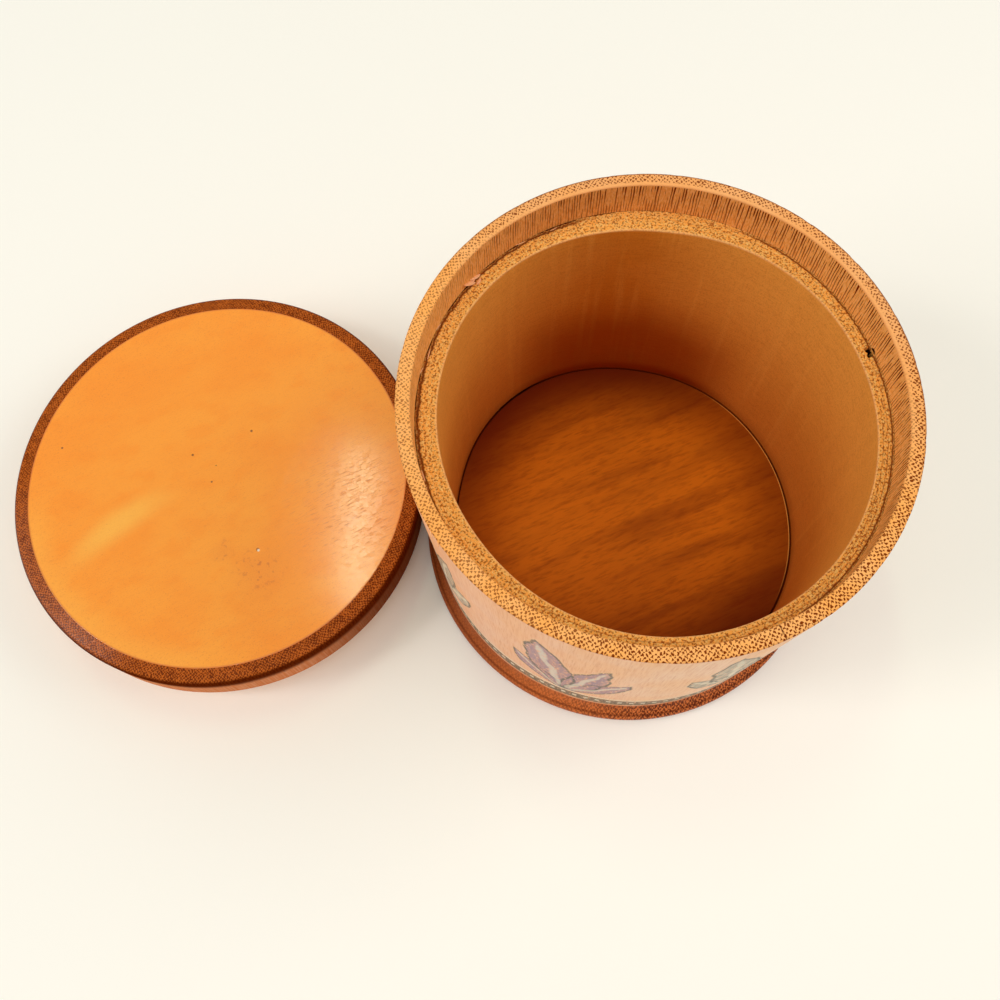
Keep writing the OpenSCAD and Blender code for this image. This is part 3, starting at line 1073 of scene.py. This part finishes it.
class CANISTER_OT_lid_ring(bpy.types.Operator):
    """Turn the lid's ring, with its sloping dotted top rolled over into the side wall"""

    bl_idname = "canister.lid_ring"
    bl_label = "Lid Ring"

    def execute(self, context):
        size = in_mm(context.scene.lid_sizes)
        colour = paints()
        roll_z = size.edge_z - size.roll_drop
        outline = Outline((size.panel_r, size.ring_z))
        low_r = size.rim_r - size.ease
        outline.line("under", 0, (low_r, size.ring_z), 5)
        outline.arc("low edge", 0, (low_r, size.ring_z + size.ease), size.ease, -90, 0, 5)
        outline.line("side", 0, (size.rim_r, roll_z), 8)
        outline.arc("roll", 0, (size.rim_r - size.roll_r, roll_z), size.roll_r, 0, ROLL_END, 12)
        outline.line("top", 0, (size.panel_r, size.edge_z), 10)
        outline.line("inside", 0, (size.panel_r, size.ring_z), 6)
        angles = full_turn(FINE_TURN)
        radius, height = outline.turned(angles)
        wear = edge_wear(angles, seed=17, slow=10, fast=120, spared=0.8, depth=0.05)
        radius[:, outline.parts["low edge"]] -= wear
        finishes = [lid_edge_stain(size, colour)]
        piece = turned_piece("lid_rim", angles, radius, height, outline.zones, finishes, LID_CENTRE)
        settle(piece, "lid", "lid_ring")
        return {"FINISHED"}


class CANISTER_OT_lid_panel(bpy.types.Operator):
    """Turn the lid's panel: a disc with a low crown, edge height + crown * (1 - share of radius squared)"""

    bl_idname = "canister.lid_panel"
    bl_label = "Lid Panel"

    def execute(self, context):
        size = in_mm(context.scene.lid_sizes)
        colour = paints()
        crown = size.crown_z - size.edge_z
        top_r = size.panel_r - size.panel_ease
        share = 1 - np.linspace(0, 1, 40, endpoint=False) ** 1.8
        outline = Outline((HUB_R, size.panel_z))
        outline.line("under", 0, (size.panel_r, size.panel_z), 10)
        side_z = size.edge_z - size.panel_ease
        outline.line("side", 0, (size.panel_r, side_z), 3)
        outline.arc("edge", 0, (top_r, side_z), size.panel_ease, 0, 90, 3)
        outline.add("top", 0, np.stack([top_r * share, size.edge_z + crown * (1 - share**2)], axis=1))
        angles = full_turn(PANEL_TURN)
        radius, height = outline.turned(angles)
        poles = (size.panel_z, size.crown_z)
        finishes = [varnished_panel(size, colour)]
        piece = turned_piece("lid_top", angles, radius, height, outline.zones, finishes, LID_CENTRE, poles)
        settle(piece, "lid", "lid_panel")
        return {"FINISHED"}


class CANISTER_OT_lid_plug(bpy.types.Operator):
    """Turn the ring under the lid that drops into the canister's socket"""

    bl_idname = "canister.lid_plug"
    bl_label = "Lid Plug"

    def execute(self, context):
        size = in_mm(context.scene.lid_sizes)
        colour = paints()
        inner_r = size.panel_r - size.plug_wall
        outline = Outline((inner_r, size.ease))
        outline.arc("inner edge", 0, (inner_r + size.ease, size.ease), size.ease, 180, 270, 4)
        outline.line("end", 0, (size.panel_r - size.ease, 0), 6)
        outline.arc("outer edge", 0, (size.panel_r - size.ease, size.ease), size.ease, -90, 0, 4)
        outline.line("outside", 0, (size.panel_r, size.panel_z), 8)
        outline.line("top", 0, (inner_r, size.panel_z), 3)
        outline.line("inside", 0, (inner_r, size.ease), 8)
        angles = full_turn(PLAIN_TURN)
        radius, height = outline.turned(angles)
        finishes = [plug_bamboo(size, colour)]
        piece = turned_piece("lid_plug", angles, radius, height, outline.zones, finishes, LID_CENTRE)
        settle(piece, "lid", "lid_spigot")
        return {"FINISHED"}


# Torn fibres across the worn seam: bearing, outward offset from the seam, length, heading from the tangent
# in degrees, rise at the far end, and width, in millimetres where not said otherwise
SEAM_FIBRES = (
    (135.0, -0.3, 3.0, 6, 1.0, 0.90),
    (136.8, -0.1, 3.6, -5, 1.9, 1.00),
    (137.6, -0.9, 2.6, 26, 0.6, 0.75),
    (135.8, -1.0, 2.0, -20, 0.5, 0.70),
    (152.0, -0.2, 2.6, 6, 0.2, 0.22),
    (159.5, -0.4, 2.8, -8, 0.2, 0.24),
    (165.0, -0.3, 2.2, 12, 0.2, 0.24),
    (192.0, -0.3, 2.6, -5, 0.2, 0.26),
    (196.5, -0.5, 1.8, 30, 0.2, 0.24),
    (120.0, -0.3, 2.4, 5, 0.2, 0.22),
    (110.5, -0.4, 2.0, -10, 0.2, 0.22),
)
# Splinters on the outer edge of the rim, in the same order
RIM_SPLINTERS = (
    (209.0, 0.0, 1.7, 14, -0.25, 0.35),
    (210.6, 0.05, 1.5, -10, 0.20, 0.30),
    (212.0, 0.0, 1.3, 20, -0.35, 0.30),
)
# How far the fibres lie over the ledge, and the splinters inside and below the rim's edge, in millimetres
FIBRE_LIFT = 0.05
SPLINTER_IN = 0.1
SPLINTER_DROP = 0.45


def slivers(name, rows, seat_r, seat_z, finish):
    """Small torn fibres. Each is a tube with pointed ends: its middle line starts at the seat circle, runs
    along the heading and rises with the square of the way s, and its half width is
    width / 2 * sqrt(sin(pi s))."""
    bearing, offset, long, heading, rise, wide = np.array(rows).T
    way = np.linspace(0, 1, 9)
    around = 6
    sides = full_turn(around)
    at = np.radians(bearing)
    go = at + np.pi / 2 - np.radians(heading)
    out = seat_r + offset
    start = np.stack([out * np.cos(at), out * np.sin(at), np.full(len(at), seat_z)], axis=1)
    ahead = np.stack([np.cos(go), np.sin(go), np.zeros(len(go))], axis=1)
    right = np.stack([np.sin(go), -np.cos(go), np.zeros(len(go))], axis=1)
    up = np.array([0.0, 0.0, 1.0])
    middle = start[:, None] + ahead[:, None] * (long[:, None] * way)[..., None]
    middle = middle + up * (rise[:, None] * way**2)[..., None]
    half = wide[:, None] / 2 * np.sqrt(np.sin(np.pi * way[1:-1]))
    ring = np.cos(sides)[:, None] * right[:, None, None] + 0.5 * np.sin(sides)[:, None] * up
    rings = middle[:, 1:-1, None] + half[..., None, None] * ring
    count, laps = half.shape
    each = laps * around + 2
    parts = [rings.reshape(count, -1, 3), middle[:, :1], middle[:, -1:]]
    points = np.concatenate(parts, axis=1).reshape(-1, 3)
    here = np.arange(laps * around).reshape(laps, around)
    beside = np.roll(here, -1, axis=1)
    quads = np.stack([here[:-1], here[1:], beside[1:], beside[:-1]], axis=-1).reshape(-1, 4)
    tail = np.stack([np.full(around, each - 2), here[0], beside[0]], axis=1)
    tip = np.stack([beside[-1], here[-1], np.full(around, each - 1)], axis=1)
    base = np.arange(count)[:, None, None] * each
    faces = (base + quads).reshape(-1, 4).tolist() + (base + np.vstack([tail, tip])).reshape(-1, 3).tolist()
    return mesh_piece(name, points, faces, np.zeros(len(faces)), [finish], FIBRE_CREASE)


class CANISTER_OT_fibres(bpy.types.Operator):
    """Lay the torn fibres along the worn seam and on the edge of the rim"""

    bl_idname = "canister.fibres"
    bl_label = "Torn Fibres"

    def execute(self, context):
        size = in_mm(context.scene.canister_sizes)
        finish = torn_fibre(paints())
        seam = slivers("seam_fibres", SEAM_FIBRES, size.socket_r, size.ledge_z + FIBRE_LIFT, finish)
        settle(seam, "canister")
        edge_r = size.rim_r - SPLINTER_IN
        edge_z = size.body_h - SPLINTER_DROP
        edge = slivers("rim_splinters", RIM_SPLINTERS, edge_r, edge_z, finish)
        settle(edge, "canister")
        return {"FINISHED"}


# Stage

# Lamps: name, place and aim in metres, width and length in metres, power in watts, and colour
DAYLIGHT = (1.0, 0.985, 0.96)
LAMPS = (
    ("ceiling strip", (-0.150, 0.262, 1.0), (-0.06, 0.0, 0.02), 0.040, 0.235, 0.55, (0.7, 1.0, 0.75)),
    ("window edge", (-0.80, -0.14, 1.05), (-0.10, 0.0, 0.05), 0.20, 0.20, 1.7, DAYLIGHT),
    ("window", (-1.05, -0.25, 0.75), (0.0, 0.0, 0.05), 0.70, 0.50, 3.2, DAYLIGHT),
    ("right bounce", (0.95, 0.15, 0.85), (0.0, 0.0, 0.05), 0.80, 0.80, 4.9, DAYLIGHT),
    ("front softbox", (0.05, -0.36, 1.30), (0.0, 0.0, 0.04), 1.10, 0.55, 4.3, DAYLIGHT),
)
# Half the width of the table, in metres
TABLE_HALF = 6.0
# Distances from the axis between which the table fades into the background, in millimetres
HAZE = (200, 550)
# Colour of the background and of the even light
BACKDROP = (0.97, 0.94, 0.88, 1.0)


def background_rays(tree):
    """Is 1 for the rays that see the background: from the camera, reflected or let through."""
    path = tree.nodes.new("ShaderNodeLightPath").outputs
    seen = path["Is Camera Ray"]
    for ray in ("Is Glossy Ray", "Is Transmission Ray"):
        either = tree.nodes.new("ShaderNodeMath")
        either.operation = "MAXIMUM"
        tree.links.new(seen, either.inputs[0])
        tree.links.new(path[ray], either.inputs[1])
        seen = either.outputs[0]
    return seen


class CANISTER_OT_stage(bpy.types.Operator):
    """Set the table, the soft light and the camera"""

    bl_idname = "canister.stage"
    bl_label = "Stage"

    def execute(self, context):
        scene = context.scene
        setting = scene.stage_settings
        scene.view_settings.view_transform = "Standard"
        self.table(setting)
        self.sky(scene, setting)
        self.lamps(scene)
        self.camera(scene, setting)
        return {"FINISHED"}

    def table(self, setting):
        """A wide flat square that fades into the background far from the object."""
        mesh = bpy.data.meshes.new("table")
        corner = np.array([[-1, -1, 0], [1, -1, 0], [1, 1, 0], [-1, 1, 0]]) * TABLE_HALF
        mesh.from_pydata(corner.tolist(), [], [(0, 1, 2, 3)])
        f = Finish("Table")
        f.shade = paint(setting.table)
        mesh.materials.append(f.surface(0.7, specular=0.2))
        output = f.tree.nodes["Material Output"].inputs["Surface"]
        far = f.step(f.radius, *HAZE) * background_rays(f.tree)
        haze = f.node("ShaderNodeEmission", BACKDROP).outputs[0]
        f.put(output, f.node("ShaderNodeMixShader", far, output.links[0].from_socket, haze).outputs[0])
        top = bpy.data.objects.new("table", mesh)
        bpy.context.scene.collection.objects.link(top)

    def sky(self, scene, setting):
        """An even light from all round, and the pale background that the camera and reflections see."""
        world = bpy.data.worlds.new("Studio")
        scene.world = world
        world.use_nodes = True
        tree = world.node_tree
        sky = tree.nodes["Background"]
        sky.inputs["Color"].default_value = BACKDROP
        sky.inputs["Strength"].default_value = setting.sky
        pale = tree.nodes.new("ShaderNodeBackground")
        pale.inputs["Color"].default_value = BACKDROP
        both = tree.nodes.new("ShaderNodeMixShader")
        sources = (background_rays(tree), sky.outputs[0], pale.outputs[0])
        for source, socket in zip(sources, both.inputs):
            tree.links.new(source, socket)
        tree.links.new(both.outputs[0], tree.nodes["World Output"].inputs["Surface"])

    def lamps(self, scene):
        """Soft rectangles of light, each turned towards its aim."""
        for name, place, aim, wide, long, power, colour in LAMPS:
            lamp = bpy.data.lights.new(name, "AREA")
            lamp.shape = "RECTANGLE"
            lamp.size = wide
            lamp.size_y = long
            lamp.energy = power
            lamp.color = colour
            holder = bpy.data.objects.new(name, lamp)
            scene.collection.objects.link(holder)
            turn = facing(np.subtract(aim, place), (0, 1, 0))
            holder.rotation_euler = Matrix(turn.tolist()).to_euler()
            holder.location = place

    def camera(self, scene, setting):
        """Looks along (0, cos, -sin) of the elevation, turned about that line by the roll."""
        data = bpy.data.cameras.new("photo view")
        data.lens = setting.lens
        data.sensor_width = 36.0
        data.shift_y = setting.shift
        data.clip_start = 0.01
        camera = bpy.data.objects.new("photo view", data)
        scene.collection.objects.link(camera)
        down, across = math.sin(setting.elevation), math.cos(setting.elevation)
        ahead = np.array([0, across, -down])
        upright = np.array([0, down, across])
        up = math.cos(setting.roll) * upright - math.sin(setting.roll) * np.array([1, 0, 0])
        turn = Matrix(facing(ahead, up).tolist()).to_4x4()
        place = Matrix.Translation((setting.camera_x, setting.camera_y, setting.camera_z))
        camera.matrix_world = place @ turn
        scene.camera = camera


def facing(ahead, up):
    """A turn whose -Z looks ahead and whose Y is as near up as it can be."""
    back = -np.array(ahead) / np.linalg.norm(ahead)
    right = np.cross(up, back)
    right = right / np.linalg.norm(right)
    return np.stack([right, np.cross(back, right), back], axis=1)


OPERATORS = (
    CANISTER_OT_shell, CANISTER_OT_sleeve, CANISTER_OT_floor, CANISTER_OT_lid_ring,
    CANISTER_OT_lid_panel, CANISTER_OT_lid_plug, CANISTER_OT_fibres, CANISTER_OT_stage,
)
GROUPS = (
    ("canister_sizes", CanisterSizes), ("lid_sizes", LidSizes),
    ("canister_colours", CanisterColours), ("stage_settings", StageSettings),
)


class CANISTER_PT_pieces(bpy.types.Panel):
    """Lists the pieces and their settings"""

    bl_idname = "CANISTER_PT_pieces"
    bl_label = "Tea Canister"
    bl_space_type = "VIEW_3D"
    bl_region_type = "UI"
    bl_category = "Canister"

    def draw(self, context):
        column = self.layout.column(align=True)
        for operator in OPERATORS:
            column.operator(operator.bl_idname)
        for name, group in GROUPS:
            box = self.layout.box()
            for key in group.__annotations__:
                box.prop(getattr(context.scene, name), key)


def register():
    for name, group in GROUPS:
        bpy.utils.register_class(group)
        setattr(bpy.types.Scene, name, bpy.props.PointerProperty(type=group))
    for item in (*OPERATORS, CANISTER_PT_pieces):
        bpy.utils.register_class(item)


def unregister():
    for item in reversed((*OPERATORS, CANISTER_PT_pieces)):
        bpy.utils.unregister_class(item)
    for name, group in reversed(GROUPS):
        delattr(bpy.types.Scene, name)
        bpy.utils.unregister_class(group)


def main():
    register()
    bpy.ops.canister.shell()
    bpy.ops.canister.sleeve()
    bpy.ops.canister.floor()
    bpy.ops.canister.lid_ring()
    bpy.ops.canister.lid_panel()
    bpy.ops.canister.lid_plug()
    bpy.ops.canister.fibres()
    bpy.ops.canister.stage()
    bpy.context.view_layer.update()


if __name__ == "__main__":
    main()
